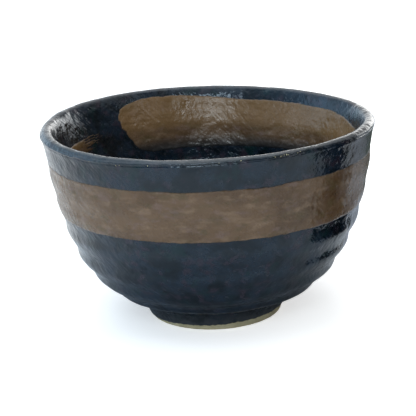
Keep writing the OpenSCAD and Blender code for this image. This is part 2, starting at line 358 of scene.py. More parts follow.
# %% The throwing tree
def throwing_tree():
    tree, given = new_tree("Thrown by hand", throwing_sizes)

    def noise(size, detail=1.0):
        scale = calc(tree, "DIVIDE", 1.0, size)
        fac = add(tree, "ShaderNodeTexNoise", {"Vector": start, "Scale": scale, "Detail": detail}).outputs[0]
        return times(tree, calc(tree, "SUBTRACT", fac, 0.5), 2.0)

    along, start, out = (stored(tree, "along"), stored(tree, "start", "FLOAT_VECTOR"),
                         stored(tree, "out", "FLOAT_VECTOR"))
    to_right, to_back, up = add(tree, "ShaderNodeSeparateXYZ", {0: start}).outputs
    angle = calc(tree, "ARCTAN2", to_back, to_right)
    across = calc(tree, "DIVIDE", to_right, given["Rim Radius"])
    feet_up = calc(tree, "DIVIDE", up, given["Foot Height"])
    bowls_up = calc(tree, "DIVIDE", up, given["Bowl Height"])

    # Rings on the outside: where in its ring a point lies, from 0 under one groove to 1 at the next
    slant = times(tree, plus(tree, across, 1.0), given["Ring Slant"])
    ring = calc(tree, "DIVIDE", plus(tree, along, slant), given["Ring Pitch"])
    wander_by = times(tree, noise(given["Wander Size"]), given["Ring Wander"])
    part = calc(tree, "FRACT", plus(tree, ring, wander_by))
    step = add(tree, "ShaderNodeMapRange", {0: across, 1: -1.0, 2: 1.0, 3: given["Step Left"],
               4: given["Step Right"]}).outputs[0]
    climbed = calc(tree, "DIVIDE", part, step)
    rising = times(tree, calc(tree, "COSINE", times(tree, climbed, math.pi)), -1.0)
    gone = calc(tree, "DIVIDE", calc(tree, "SUBTRACT", part, step), calc(tree, "SUBTRACT", 1.0, step))
    falling = calc(tree, "COSINE", times(tree, gone, math.pi))
    before = calc(tree, "LESS_THAN", part, step)
    wave = plus(tree, falling, times(tree, before, calc(tree, "SUBTRACT", rising, falling)))

    # They fade towards the lip and the foot, and in front and behind. The lowest is full all round.
    below_lip = between(tree, calc(tree, "DIVIDE", along, given["Ring Pitch"]), 0.1, 1.3)
    above_foot = between(tree, feet_up, 1.0, 1.5)
    uneven = plus(tree, 1.0, times(tree, noise(given["Uneven Size"]), given["Unevenness"]))
    sides = between(tree, calc(tree, "ABSOLUTE", across), 0.25, 0.75, given["Front And Back"], 1.0)
    all_round = calc(tree, "MAXIMUM", sides, between(tree, feet_up, 2.6, 1.8))
    height = add(tree, "ShaderNodeMapRange", {0: ring, 1: 2.4, 2: 4.2, 3: given["Ring Height"],
                 4: given["Ring Height Low"]}).outputs[0]
    rings = times(tree, wave, below_lip, above_foot, uneven, all_round, height, 0.5)

    # The inside was smoothed with a rib, so its rings are faint
    full_below = -18 * mm
    inside = add(tree, "ShaderNodeMapRange", {0: along, 1: 0.0, 2: full_below}).outputs[0]
    soft = calc(tree, "SINE", times(tree, calc(tree, "DIVIDE", along, given["Ring Pitch"]), 2 * math.pi))
    inner_rings = times(tree, soft, inside, given["Inner Ring Height"])

    lumps = times(tree, noise(given["Lump Size"]), given["Lump Height"])
    ripples = times(tree, noise(given["Ripple Size"], 2.0), given["Ripple Height"])
    on_wall = add(tree, "ShaderNodeMapRange", {0: feet_up, 1: 0.1, 2: 1.0}).outputs[0]
    bumps = times(tree, plus(tree, rings, inner_rings, lumps, ripples), on_wall)
    lift = add(tree, "ShaderNodeVectorMath", {0: out, "Scale": bumps}, operation="SCALE").outputs[0]

    # The lip warped a little in the fire, and the belly and the foot sit a hair off the centre
    near_lip = between(tree, bowls_up, 0.4, 1.0)
    turned = calc(tree, "SUBTRACT", angle, given["Warp Direction"])
    lobes = calc(tree, "COSINE", times(tree, turned, 2.0))
    leaning = calc(tree, "COSINE", calc(tree, "SUBTRACT", angle, given["Tilt Direction"]))
    sway = plus(tree, given["Lip Lift"], times(tree, leaning, given["Lip Tilt"]),
                times(tree, lobes, given["Warp Height"]))
    foot_moved = times(tree, between(tree, feet_up, 1.9, 0.9), given["Foot Shift"])
    belly = calc(tree, "SUBTRACT", between(tree, bowls_up, 0.3, 0.6), near_lip)
    belly_moved = times(tree, belly, given["Belly Shift"])
    spread = times(tree, near_lip, given["Lip Spread"], across)
    bend = add(tree, "ShaderNodeCombineXYZ", {0: plus(tree, foot_moved, belly_moved, spread),
               2: times(tree, sway, near_lip)}).outputs[0]
    offset = add(tree, "ShaderNodeVectorMath", {0: lift, 1: bend}, operation="ADD").outputs[0]

    moved = add(tree, "GeometryNodeSetPosition", {"Geometry": given["Geometry"], "Offset": offset}).outputs[0]
    smooth = add(tree, "GeometryNodeSetShadeSmooth", {"Geometry": moved}).outputs[0]
    real = add(tree, "GeometryNodeRealizeInstances", {"Geometry": smooth}).outputs[0]
    painted = add(tree, "GeometryNodeSetMaterial", {"Geometry": real,
                  "Material": given["Material"]}).outputs[0]
    add(tree, "NodeGroupOutput", {"Geometry": painted})
    return tree


# %% Run a tree on a piece
def settle(piece, tree, **values):
    """Runs a Geometry Nodes tree on a piece and keeps the result as a plain mesh."""
    modifier = piece.modifiers.new(tree.name, "NODES")
    modifier.node_group = tree
    for item in tree.interface.items_tree:
        if item.in_out == "INPUT" and item.name in values:
            modifier[item.identifier] = values[item.name]
    bpy.context.view_layer.update()
    graph = bpy.context.evaluated_depsgraph_get()
    mesh = bpy.data.meshes.new_from_object(piece.evaluated_get(graph), depsgraph=graph)
    piece.modifiers.remove(modifier)
    mesh.name = piece.name
    piece.data = mesh
    return piece


thrown = throwing_tree()
print(f"throwing tree: {len(thrown.nodes)} nodes")

# %% [markdown]
# ## Materials
# Fired glaze is glass with colour in it. Light glances off its surface, most of all at shallow
# angles, so much of what is seen is gloss, with a dim body colour under it. Its surface is never
# flat: it has the dimples of orange peel, and its colour has clouds. Each material below is a
# Principled shader whose colour, roughness and bump come from noise in object space, in metres. The
# fine runs in the glaze, and the places where a coat lies thin, follow values that the mesh stores;
# the same values also carry some painted sheen and painted shade.

# %% Material helpers
def new_material(name, colour, specular=0.5):
    material = bpy.data.materials.new(name)
    material.use_nodes = True
    tree = material.node_tree
    shader = tree.nodes["Principled BSDF"]
    shader.inputs["Base Color"].default_value = (*colour, 1)
    shader.inputs["Specular IOR Level"].default_value = specular
    shader.inputs["IOR"].default_value = 1.5
    material.diffuse_color = (*colour, 1)
    return material, tree, shader


def attribute(tree, name, output="Fac"):
    return add(tree, "ShaderNodeAttribute", attribute_name=name).outputs[output]


def clouds(tree, size, detail=3.0, stretch=(1, 1, 1), shift=0.0):
    """Noise in object space with blotches of about that size, from 0 to 1."""
    place_in = add(tree, "ShaderNodeTexCoord").outputs["Object"]
    moved = add(tree, "ShaderNodeMapping", {"Vector": place_in, "Location": (shift, shift, shift),
                "Scale": stretch})
    return add(tree, "ShaderNodeTexNoise", {"Vector": moved.outputs[0], "Scale": 1 / size, "Detail": detail,
               "Roughness": 0.55}).outputs[0]


def blend(tree, amount, first, second):
    """Mixes two colours. Each is a colour or a socket."""
    first, second = ((*c, 1) if isinstance(c, tuple) else c for c in (first, second))
    made = add(tree, "ShaderNodeMix", {0: amount, 6: first, 7: second}, data_type="RGBA")
    return made.outputs[2]


def drift(tree, base, colour, cloud, low, high, most=1.0):
    """Lets clouds of a second colour drift over a base, at most that strongly."""
    return blend(tree, between(tree, cloud, low, high, 0.0, most), base, colour)


def bump(tree, height, strength, distance, normal=None):
    sockets = {"Height": height, "Strength": strength, "Distance": distance}
    if normal is not None:
        sockets["Normal"] = normal
    return add(tree, "ShaderNodeBump", sockets).outputs[0]


# %% Skin of a glaze
def glaze_skin(tree, shift=0.0, run_depth=0.14 * mm):
    """Bump of a fired glaze: orange peel, fine grain, and short runs that follow the wall downwards."""
    run_width, floor_edge, wall_edge = 1.15 * mm, -80 * mm, -50 * mm
    moved = add(tree, "ShaderNodeMapping", {"Vector": attribute(tree, "skin", "Vector"),
                "Location": (shift, shift, shift), "Scale": (1, 1, 0.24)}).outputs[0]
    runs = add(tree, "ShaderNodeTexNoise", {"Vector": moved, "Scale": 1 / run_width,
               "Detail": 2.5}).outputs[0]
    on_walls = between(tree, attribute(tree, "along"), floor_edge, wall_edge)
    slow = bump(tree, clouds(tree, 7 * mm, 2.0, shift=0.4 + shift), 1.0, 0.45 * mm)
    peel = bump(tree, clouds(tree, 2.4 * mm, 2.5, shift=shift), 1.0, 0.26 * mm, slow)
    ran = bump(tree, runs, on_walls, run_depth, peel)
    return bump(tree, clouds(tree, 0.8 * mm, 2.0, shift=0.2 + shift), 0.6, 0.06 * mm, ran)


# %% [markdown]
# ### The dark glaze
# Iron makes it nearly black, and where it is thick it turns blue. Faint plum, teal and grey clouds
# drift in it. Over the lip and at the foot it lies thinner and looks greyer, a grey that is partly the
# thin glaze and partly painted sheen. The skin's bumps come in four sizes, and the coarse ones break
# up the edges of reflections.

# %% Dark glaze
def dark_glaze():
    night, navy, plum = (0.001, 0.003, 0.005), (0.006, 0.012, 0.021), (0.020, 0.014, 0.022)
    teal, dust, thin_grey_and_sheen = (0.002, 0.013, 0.014), (0.030, 0.030, 0.036), (0.045, 0.050, 0.055)
    material, tree, shader = new_material("dark glaze", (0.006, 0.009, 0.013), specular=0.44)
    shader.inputs["Specular Tint"].default_value = (0.74, 0.87, 1.0, 1)
    colour = drift(tree, night, navy, clouds(tree, 8 * mm, 4.0), 0.40, 0.60)
    colour = drift(tree, colour, plum, clouds(tree, 4 * mm, 5.0, shift=0.3), 0.52, 0.68, 0.8)
    colour = drift(tree, colour, teal, clouds(tree, 6 * mm, 5.0, shift=0.7), 0.54, 0.70, 0.8)
    colour = drift(tree, colour, dust, clouds(tree, 2.2 * mm, 5.0, shift=0.8), 0.60, 0.72, 0.5)
    # The grey where cover is high, over the lip and at the foot's edge, is partly thin glaze and partly
    # painted sheen.
    uneven = between(tree, clouds(tree, 3 * mm, 4.0, shift=0.6), 0.3, 0.6, 0.5, 1.0)
    colour = blend(tree, times(tree, attribute(tree, "cover"), uneven), colour, thin_grey_and_sheen)
    gloss = between(tree, clouds(tree, 6 * mm, 4.0, shift=0.5), 0.3, 0.7, 0.10, 0.24)
    tree.links.new(colour, shader.inputs["Base Color"])
    tree.links.new(gloss, shader.inputs["Roughness"])
    tree.links.new(glaze_skin(tree), shader.inputs["Normal"])
    return material


# %% [markdown]
# ### The brown glaze
# It was brushed over the dark one. Where the brush left it thin, at its edges, the dark glaze shows
# through. The mesh stores how well each point is covered, and the colour follows that. On the stroke
# inside, that value also carries painted shade: the brown is painted darker low in the bowl and turns
# golden near the top. Its clouds are drawn out sideways, the way the brush went.

# %% Brown glaze
def brown_glaze():
    umber, tan, olive = (0.072, 0.041, 0.020), (0.106, 0.064, 0.034), (0.070, 0.050, 0.022)
    beige, rose, golden = (0.165, 0.110, 0.068), (0.125, 0.083, 0.070), (0.185, 0.108, 0.044)
    bare_and_shade = (0.010, 0.012, 0.014)
    material, tree, shader = new_material("brown glaze", (0.10, 0.062, 0.032), specular=0.36)
    cover = attribute(tree, "cover")
    colour = drift(tree, umber, tan, clouds(tree, 16 * mm, 3.0), 0.35, 0.65)
    colour = drift(tree, colour, olive, clouds(tree, 6 * mm, 4.0, (1, 1, 1.8), 0.4), 0.5, 0.7, 0.7)
    colour = drift(tree, colour, beige, clouds(tree, 7 * mm, 5.0, (1, 1, 2.6), 0.2), 0.50, 0.72, 0.75)
    colour = drift(tree, colour, rose, clouds(tree, 5 * mm, 5.0, (1, 1, 2.2), 0.9), 0.52, 0.72, 0.6)
    # Cover above 1, which only the inner stroke's height factor gives, turns it golden near the top; low
    # cover shows the dark glaze, at the stroke's edges and, as painted shade, low in the bowl.
    colour = drift(tree, colour, golden, cover, 1.0, 1.6, 0.75)
    colour = blend(tree, between(tree, cover, 0.25, 0.95), bare_and_shade, colour)
    gloss = between(tree, clouds(tree, 5 * mm, 4.0, shift=0.1), 0.3, 0.7, 0.20, 0.34)
    tree.links.new(colour, shader.inputs["Base Color"])
    tree.links.new(gloss, shader.inputs["Roughness"])
    tree.links.new(glaze_skin(tree, 0.6, 0.10 * mm), shader.inputs["Normal"])
    return material


# %% [markdown]
# ### The clay
# Bare stoneware shows only at the foot. It is cream, dry and a little sandy, with darker grains.

# %% Clay
def stoneware():
    cream, pale, grit = (0.38, 0.34, 0.215), (0.47, 0.425, 0.28), (0.30, 0.25, 0.16)
    material, tree, shader = new_material("stoneware clay", (0.50, 0.45, 0.31), specular=0.25)
    colour = drift(tree, cream, pale, clouds(tree, 6 * mm, 3.0), 0.35, 0.65)
    colour = drift(tree, colour, grit, clouds(tree, 0.45 * mm, 2.0, shift=0.3), 0.60, 0.72, 0.55)
    gloss = between(tree, clouds(tree, 2 * mm), 0.3, 0.7, 0.75, 0.92)
    tree.links.new(colour, shader.inputs["Base Color"])
    tree.links.new(gloss, shader.inputs["Roughness"])
    tree.links.new(bump(tree, clouds(tree, 0.5 * mm, 3.0), 0.6, 0.08 * mm), shader.inputs["Normal"])
    return material


dark, brown, clay = dark_glaze(), brown_glaze(), stoneware()
print("materials:", dark.name, brown.name, clay.name)

# %% [markdown]
# ## The clay bowl
# The thrown body is hidden under the glaze, but it is there: wall and floor, with a flat underside
# that the foot ring meets. Every other layer lies on it, so it is modelled whole.

# %% Clay bowl
turns = 512
circle = np.arange(turns) / turns

seat = outside_at(ring_h)
foot_edge = outside_at(glaze_line)


def clay_bowl():
    rows = [free_row(0, ring_h, turns), free_row(20 * mm, ring_h, turns)]
    rows += [row(s, -glaze_t, turns) for s in np.arange(seat + 0.1 * mm, way[-1] - 1 * mm, 1 * mm)]
    rows += [row(way[-1], -glaze_t, turns)]
    return settle(shell("clay_bowl_body", rows, closed=False), thrown, Material=clay)


body = clay_bowl()

# %% [markdown]
# ## The foot ring
# The foot was turned from a thicker base with a loop tool, which leaves fine rings on its sides.
# Its lower edge was worn round before firing. It is built from a cross-section walked all the way
# round: up the outside, across the hidden top, down the inside and back over the standing face.

# %% Foot ring
def foot_ring():
    lean, well_lean = math.tan(foot_taper), math.tan(foot_taper / 3)
    well_r, edge = foot_r - ring_w, foot_round
    tool_pitch, tool_depth, worn_depth = 0.75 * mm, 0.05 * mm, 0.07 * mm
    outer_centre = foot_r - edge * (1 / math.cos(foot_taper) - lean)
    inner_centre = well_r + edge * (1 / math.cos(foot_taper / 3) - well_lean)
    outer = arc((outer_centre, edge), edge, edge, -90, -17, 8)
    inner = arc((inner_centre, edge), edge, edge, -174, -90, 8)
    heights = np.arange(0.9 * mm, ring_h, 0.2 * mm)
    outer_side = [(foot_r + z * lean, z) for z in heights]
    inner_side = [(well_r - z * well_lean, z) for z in heights[::-1]]
    top = [(foot_r + ring_h * lean, ring_h), (well_r - ring_h * well_lean, ring_h)]
    face = [(r, 0) for r in np.linspace(inner[-1][0], outer[0][0], 8)[1:-1]]
    section = np.array([*outer, *outer_side, *top, *inner_side, *inner, *face])
    rows = []
    for r, z in section:
        tool = tool_depth * math.sin(z / tool_pitch * 2 * math.pi) * (edge < z < ring_h - 0.3 * mm)
        worn = worn_depth * patchy(circle, 0 * circle + z / ring_h, 90, 6, 11) * (z > 0.05 * mm)
        rows.append(free_row(r + (tool + worn) * (1 if r > (foot_r + well_r) / 2 else -1), z, turns))
    return settle(shell("foot_ring_turned", rows, closed=True), thrown, Material=clay)


foot = foot_ring()

# %% [markdown]
# ## The outside glaze
# The bowl was dipped, and the foot wiped clean, so the coat ends in a rounded, slightly ragged line
# just above the table. Glaze ran down and gathered in the corner above the foot as a wavy roll.
# Under the lip it has a shallow groove, and above that it tucks in under the coat that was poured
# inside and laps over it.

# %% Rounded edges of a coat
def rounded(distance, width, thickness):
    """How far below full thickness a coat lies at that distance from its edge."""
    x = np.clip(distance / width, 0, 1)
    return -thickness * (1 - np.sqrt(1 - (1 - x) ** 2))


# %% The lap line
# How far the lap's edge lies below the lip, in mm, at angles round the bowl
lap_drops = ((0, 1.6), (30, 1.4), (90, 1.5), (150, 2.0), (190, 2.3), (235, 2.0), (250, 1.5),
             (265, 1.15), (290, 0.85), (302, 0.75), (315, 0.9), (332, 1.4), (360, 1.6))


def lap_line(turn):
    """Where the inner coat ends on the outside of the lip: lower on the left than at the front."""
    drop = np.interp(turn * 360, *zip(*lap_drops)) * mm
    return outside_at(bowl_h - drop) + 0.14 * mm * wander(turn, 60, 7) + 0.16 * mm * wander(turn, 200, 8)


left = ramp(-np.cos(2 * np.pi * circle), -0.2, 0.7)
lap_edge = lap_line(circle)
lap = lap_edge.mean()
print(f"lap line {np.ptp(lap_edge) / mm:.1f} mm from its lowest to its highest place")


# %% Outside glaze
def outside_glaze():
    tilt = 1.1 * mm * np.cos(2 * np.pi * circle - math.radians(345)) - 0.3 * mm
    ragged = 0.18 * mm * wander(circle, 150, 3) + 0.20 * mm * wander(circle, 400, 4)
    roll_at, roll_width = outside_at(ring_h + 0.8 * mm), 0.75 * mm
    roll_size = 0.60 * mm * (0.75 + 0.55 * wander(circle, 46, 5) + 0.35 * wander(circle, 120, 6))
    groove_at, groove_width, groove_depth, tuck_depth = 0.3 * mm, 0.3 * mm, 0.22 * mm, 0.45 * mm
    end = lap + 0.8 * mm
    near_edge = np.array([0, 0.08, 0.2, 0.4, 0.6, 0.9, 1.2]) * mm
    steps = np.concatenate([near_edge, np.arange(1.6 * mm, end - foot_edge - 2 * mm, 0.65 * mm),
                            np.arange(end - foot_edge - 2 * mm, end - foot_edge + 0.1 * mm, 0.2 * mm)])
    rows = []
    for distance in steps:
        low = 1 - ramp(distance, 0, 8 * mm)
        high = ramp(foot_edge + distance, lap - 7 * mm, lap - 0.5 * mm)
        along = foot_edge + distance + (tilt + ragged) * low + (lap_edge - lap) * high
        roll = roll_size * np.exp(-((along - roll_at) / roll_width) ** 2)
        above = along - lap_edge
        groove = groove_depth * np.exp(-((above + groove_at) / groove_width) ** 2)
        tuck = tuck_depth * ramp(above, 0.1 * mm, 0.8 * mm)
        edge = rounded(distance, 0.5 * mm, glaze_t * 0.9)
        # low also greys the coat near its foot edge: partly thin glaze, partly painted sheen.
        rows.append(row(along, edge + roll - groove - tuck, turns, low))
    for share in np.linspace(1, 0, 40):
        along = foot_edge + 0.2 * mm + (end - 0.3 * mm - foot_edge) * share
        shift = (lap_edge - lap) * ramp(along, lap - 7 * mm, lap - 0.5 * mm) + (tilt + ragged) * (share == 0)
        rows.append(row(along + shift, -glaze_t, turns))
    return settle(shell("outside_glaze_coat", rows, closed=True), thrown, Material=dark)


outer_coat = outside_glaze()

# %% [markdown]
# ## The inside glaze
# The second coat was poured in and swilled over the lip. Outside, its edge is a thin bead that
# wavers a little. On the left it ran further down, and the lip is slightly hollow above the bead.
# From there it goes over the lip and down the wall to a glassy pool on the floor.

# %% Inside glaze
def inside_glaze():
    bead = (0.10 + 0.10 * left) * mm
    hollow_at, hollow_width, hollow_depth = 1.5 * mm, 0.5 * mm, 0.12 * mm
    near_edge = [0, 0.08, 0.2, 0.35, 0.5, 0.7, 0.9, 1.15, 1.4, 1.7]
    steps = np.concatenate([near_edge, np.arange(2.0, 16, 0.4)]) * mm
    rows = []
    for distance in steps:
        share = ramp(distance, 2 * mm, 9 * mm)
        along = lap_edge * (1 - share) + lap * share + distance
        proud = bead * (1 - ramp(distance, 0.35 * mm, 1.3 * mm))
        hollow = hollow_depth * left * np.exp(-((distance - hollow_at) / hollow_width) ** 2)
        over_lip = 1 - ramp(along, lip_top + 0.1 * mm, lip_top + 1.6 * mm)
        # Over the lip the coat is painted greyer, partly thin glaze and partly painted sheen; in the hollow
        # above the bead that grey is taken away, as painted shade.
        thin_sheen_and_shade = 0.45 * over_lip * (1 - hollow / (0.25 * mm))
        edge = rounded(distance, 0.35 * mm, bead + 0.1 * mm)
        rows.append(row(along, edge + proud - hollow, turns, thin_sheen_and_shade))
    rows += [row(along, 0, turns, 0) for along in np.arange(lap + 16 * mm, way[-1] - 1 * mm, 0.8 * mm)]
    rows += [row(way[-1], 0, turns, 0), row(way[-1], -glaze_t, turns, 0)]
    rows += [row(along, -glaze_t, turns) for along in np.linspace(way[-1] - 2 * mm, lap + 2.5 * mm, 28)]
    rows += [row(lap_edge + 0.5 * mm, -glaze_t, turns), row(lap_edge + 0.2 * mm, -glaze_t * 0.6, turns)]
    axis = next(i for i, line in enumerate(rows) if line[0][0] < 0.2 * mm)
    ordered = rows[axis + 1:] + rows[:axis + 1]
    return settle(shell("inside_glaze_coat", ordered, closed=False), thrown, Material=dark)


inner_coat = inside_glaze()

# %% [markdown]
# ## The glaze under the foot
# The hollow under the bowl was glazed by the same dip. A turned bowl usually has a small raised nub
# in the middle of that hollow, left by the trimming tool, and the glaze pools softly in the corner.

# %% Glaze in the foot's hollow
def well_glaze():
    well_r, lean = foot_r - ring_w, math.tan(foot_taper / 3)
    bend, bend_r, nub_h, tool_depth = 2.0 * mm, 1.5 * mm, 0.6 * mm, 0.06 * mm
    side = [(well_r - z * lean, z) for z in np.linspace(ring_h, glaze_line, 8)]
    edge = glaze_line + 0.25 * mm * wander(circle, 60, 9)
    corner = arc((well_r - ring_h * lean - bend, ring_h - bend), bend_r, bend_r, 0, 90, 10)
    coat = [(well_r - z * lean - glaze_t, z) for z in np.linspace(glaze_line + glaze_t, ring_h - bend, 6)]
    flat = [(r, ring_h - glaze_t) for r in np.arange(15.5, 0, -0.5) * mm]
    rows = [free_row(0, ring_h, turns)] + [free_row(r, z, turns) for r, z in side[:-1]]
    rows += [free_row(side[-1][0], edge, turns)]
    rows += [free_row(side[-1][0] - 0.35 * mm, edge + 0.1 * mm, turns)]
    for r, z in [*coat, *corner, *flat, (0, ring_h - glaze_t)]:
        nub = nub_h * math.exp(-(r / (3 * mm)) ** 2)
        tool = tool_depth * math.sin(r / (1.6 * mm) * 2 * math.pi) * (2 * mm < r < 15 * mm)
        rows.append(free_row(r, z - nub - tool, turns))
    return settle(shell("foot_well_glaze_coat", rows, closed=False), thrown, Material=dark)


well_coat = well_glaze()

# %% [markdown]
# ## Brushed brown glaze
# A brush lays glaze in a low ridge with soft edges. A good way to build a stroke is to treat it as a
# thickness that varies over the surface: full under the brush, and sinking just below the dark glaze
# where the brush didn't touch. The outline then appears where the two surfaces cross, with as ragged
# an edge as the thickness has, and it is real geometry.

# %% Stroke builder
def stroke(name, first, last, step, turns, covered, shade_by_height):
    """A shell between two distances along the profile. covered(turn, along) gives 0 to 1, and rich(z)
    scales the colour's cover at that height: below 1 it paints shade, above 1 it turns the brown golden."""
    hair, sunk, underside = 0.035 * mm, 0.06 * mm, -0.25 * mm
    circle = np.arange(turns) / turns
    rows = []
    for along in np.arange(first, last, step):
        cover = covered(circle, along + 0 * circle)
        marks = hair * patchy(circle, 0 * circle + (along - first) / (last - first), 40, 26, 21)
        raised = cover * (brown_t + 0.05 * mm + marks) - sunk
        rows.append(row(along, raised, turns, cover * shade_by_height(place(along)[1])))
    rows += [row(along, underside, turns) for along in np.linspace(last - step, first, 10)]
    return settle(shell(name, rows, closed=True), thrown, Material=brown)


# %% [markdown]
# ### The outside band
# It goes all the way round, held against the turning wheel, so it is level. Its edges waver only as
# far as a steady hand lets them.

# %% Outside band
def band_cover(turn, along):
    low = outside_at(band_low) + 0.30 * mm * wander(turn, 26, 31) + 0.14 * mm * wander(turn, 170, 32)
    high = outside_at(band_high) + 0.28 * mm * wander(turn, 30, 33) + 0.14 * mm * wander(turn, 190, 34)
    soft = 0.30 * mm
    return ramp(along, low - soft, low + soft) * ramp(-along, -high - soft, -high + soft)


band = stroke("outside_brown_band_brushed", outside_at(band_low) - 1.2 * mm, outside_at(band_high) + 1.2 * mm,
              0.4 * mm, 860, band_cover, lambda z: 1)

# %% [markdown]
# ### The stroke inside
# The brush was set down on the left of the far wall, drawn clockwise nearly all the way round, and
# lifted where it began. It starts on a round front. At the end it came down the wall, narrowed to a
# tongue, and its bristles ran dry one by one. The outline is a few heights at angles along the
# stroke, with smooth curves between them.

# %% Inside stroke
stroke_start = math.radians(131)

# The edges, as (degrees drawn, height in mm), and the round front, as (height in mm, degrees drawn)
stroke_top = ((0, 69), (3, 69.6), (7, 70.4), (13, 71.6), (20, 72), (30, 71.5), (47, 70.3), (55, 69.7),
              (104, 69.6), (113, 68.8), (121, 67.6), (150, 66.8), (250, 64.5), (330, 62.3), (343, 63),
              (360, 62.4))
stroke_low = ((0, 51.3), (26, 51.2), (60, 51.4), (80, 51.2), (180, 50.6), (290, 51), (325, 54),
              (342, 57.6), (348, 59.2), (360, 60.6))
stroke_front = ((50, 18), (51.3, 14), (52.1, 10), (53.1, 8), (55.6, 6), (58.8, 3.4), (60.7, 2.6),
                (62.3, 1.4), (65.6, 1), (67.5, 1), (69.3, 2.6), (70.5, 6), (72.5, 12))


def eased_line(x, pairs):
    """A smooth line through a few (x, y) pairs."""
    knots = np.array(pairs, float)
    middle = np.interp(x, knots[:, 0], knots[:, 1])
    spread = (knots[-1, 0] - knots[0, 0]) / 60
    around = sum(np.interp(x + shift, knots[:, 0], knots[:, 1]) for shift in (-spread, 0, spread)) / 3
    return around * 0.7 + middle * 0.3


def stroke_cover(turn, along):
    drawn = np.degrees(stroke_start - 2 * np.pi * turn) % 360
    z = place(along)[1]
    top = eased_line(drawn, stroke_top) * mm
    low = eased_line(drawn, stroke_low) * mm
    top = top + 0.22 * mm * wander(turn, 60, 41) + 0.12 * mm * wander(turn, 240, 42)
    low = low + 0.25 * mm * wander(turn, 50, 43) + 0.12 * mm * wander(turn, 220, 44)
    front = eased_line(z / mm, stroke_front)
    front = front + 0.55 * patchy(z / bowl_h, 0 * z, 36, 1, 45) + 0.3 * patchy(z / bowl_h, 0 * z, 90, 1, 46)
    soft = 0.22 * mm
    inside_edges = ramp(z, low - soft, low + soft) * ramp(-z, -top - soft, -top + soft)
    started = ramp(drawn, front - 0.25, front + 0.25)

    # At the end the bristles run dry, each at its own place, and the glaze thins
    below_top = (top - z) / (10 * mm)
    broad, fine = patchy(drawn / 360, below_top, 14, 30, 47), patchy(drawn / 360, below_top, 30, 60, 48)
    bristles = broad * 0.6 + fine * 0.4
    runs_out = 349 + 7 * patchy(0 * drawn, below_top, 3, 9, 49)
    dry = ramp(drawn, 318, 356)
    kept = ramp(bristles, 1.5 * dry - 1.2, 1.5 * dry - 0.9) * ramp(-drawn, -runs_out - 2, -runs_out + 2)
    thinned = 1 - 0.45 * ramp(drawn, 326, 350)
    return inside_edges * started * kept * thinned


# %% Draw the stroke
# Painted shade: the inner stroke's colour is darker low in the bowl, where shade falls, and golden near the
# top.
def shade_low_golden_high(z):
    return 0.34 + 1.11 * ramp(z, 51 * mm, 63 * mm)


inner_stroke = stroke("inside_brown_stroke_brushed", inside_at(73.2 * mm), inside_at(48.5 * mm), 0.34 * mm,
                      960, stroke_cover, shade_low_golden_high)

# %% [markdown]
# ## Crumbs of clay
# Bits of clay stick to a wet rim and a sandy foot, and the fire fixes them there. A second Geometry
# Nodes tree scatters points over a strip of the finished surface, puts a small lumpy ball on each and
# keeps only the balls. How thickly they lie comes from the strip, which says where crumbs gather.

# %% The crumb tree
def crumb_tree():
    tree, given = new_tree("Crumbs", {"Crumb Size": 0.25 * mm, "Crumbs Per Square Metre": 2e6, "Seed": 1})
    full_turn = 6.28
    density = times(tree, stored(tree, "cover"), given["Crumbs Per Square Metre"])
    spots = add(tree, "GeometryNodeDistributePointsOnFaces", {"Mesh": given["Geometry"], "Density": density,
                "Seed": given["Seed"]}, distribute_method="RANDOM").outputs["Points"]
    ball = add(tree, "GeometryNodeMeshIcoSphere", {"Radius": 1.0, "Subdivisions": 2}).outputs["Mesh"]
    size = add(tree, "FunctionNodeRandomValue", {2: 0.4, 3: 1.0, "Seed": given["Seed"]},
               data_type="FLOAT").outputs[1]
    long = add(tree, "ShaderNodeCombineXYZ", {0: 1.5, 1: 1.0, 2: 0.7}).outputs[0]
    scale = add(tree, "ShaderNodeVectorMath", {0: long, "Scale": times(tree, size, given["Crumb Size"])},
                operation="SCALE").outputs[0]
    tilt = add(tree, "FunctionNodeRandomValue", {0: (0, 0, 0), 1: (full_turn, full_turn, full_turn),
               "Seed": given["Seed"]}, data_type="FLOAT_VECTOR").outputs[0]
    crumbs = add(tree, "GeometryNodeInstanceOnPoints", {"Points": spots, "Instance": ball, "Rotation": tilt,
                 "Scale": scale}).outputs[0]
    real = add(tree, "GeometryNodeRealizeInstances", {"Geometry": crumbs}).outputs[0]
    here = add(tree, "GeometryNodeInputPosition").outputs[0]
    rough = add(tree, "ShaderNodeTexNoise", {"Vector": here, "Scale": 1 / (0.3 * mm),
                "Detail": 1.0}).outputs["Color"]
    centred = add(tree, "ShaderNodeVectorMath", {0: rough, 1: (0.5, 0.5, 0.5)},
                  operation="SUBTRACT").outputs[0]
    push = add(tree, "ShaderNodeVectorMath", {0: centred, "Scale": given["Crumb Size"]},
               operation="SCALE").outputs[0]
    lumpy = add(tree, "GeometryNodeSetPosition", {"Geometry": real, "Offset": push}).outputs[0]
    painted = add(tree, "GeometryNodeSetMaterial", {"Geometry": lumpy,
                  "Material": given["Material"]}).outputs[0]
    add(tree, "NodeGroupOutput", {"Geometry": painted})
    return tree


# %% Scatter them
def scatter(name, rows, size, per_square_metre, seed):
    strip = settle(shell(name, rows, closed=False), thrown, Material=clay)
    inputs = {"Crumb Size": size, "Crumbs Per Square Metre": per_square_metre, "Seed": seed}
    crumbs = settle(strip, crumb_tree(), Material=clay, **inputs)
    print(f"{name}: {len(crumbs.data.polygons)} faces")
    return crumbs


def stretch_of_lip(start, full, fading, end):
    """0 before start, 1 from full to fading, and 0 after end, in degrees round the bowl."""
    return ramp(circle * 360, start, full) * ramp(-circle * 360, -end, -fading)


